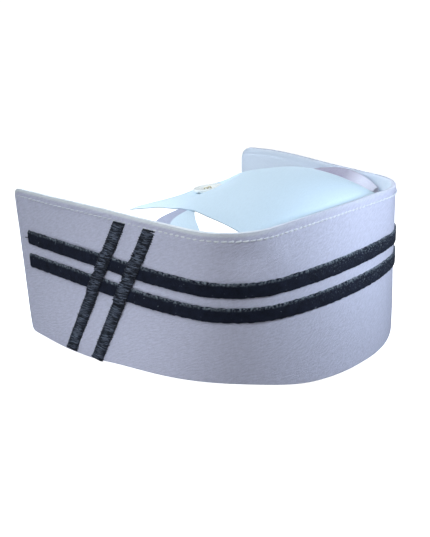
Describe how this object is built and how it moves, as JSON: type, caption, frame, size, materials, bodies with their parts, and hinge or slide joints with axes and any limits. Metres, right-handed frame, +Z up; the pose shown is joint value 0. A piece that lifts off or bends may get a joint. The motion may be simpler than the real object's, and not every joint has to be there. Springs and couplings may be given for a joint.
{
  "type": "nurse cap",
  "caption": "Stiff white nurse cap: upright cuff with dark velvet and slanted stripes, arched crown tongue with a tail, side flaps under it and a button.",
  "frame": {"origin": "centre of the bounding box in plan, on the plane of the cuff's lower edge", "axes": "+X to the wearer's left, -Y to the front of the cap, +Y to the tail, +Z up"},
  "size_m": [0.1865, 0.1722, 0.0854],
  "materials": {
    "cloth": "matte, starched plain weave",
    "velvet": "velvet pile",
    "thread": "satin stitch",
    "button": "polished"
  },
  "bodies": {
    "root": {"cuff_band": "cloth", "crown_tongue": "cloth", "side_flap_right": "cloth", "side_flap_left": "cloth", "stripe_upper": "velvet", "stripe_lower": "velvet", "slant_stripe_back": "thread", "slant_stripe_front": "thread", "button": "button"}
  },
  "joints": []
}
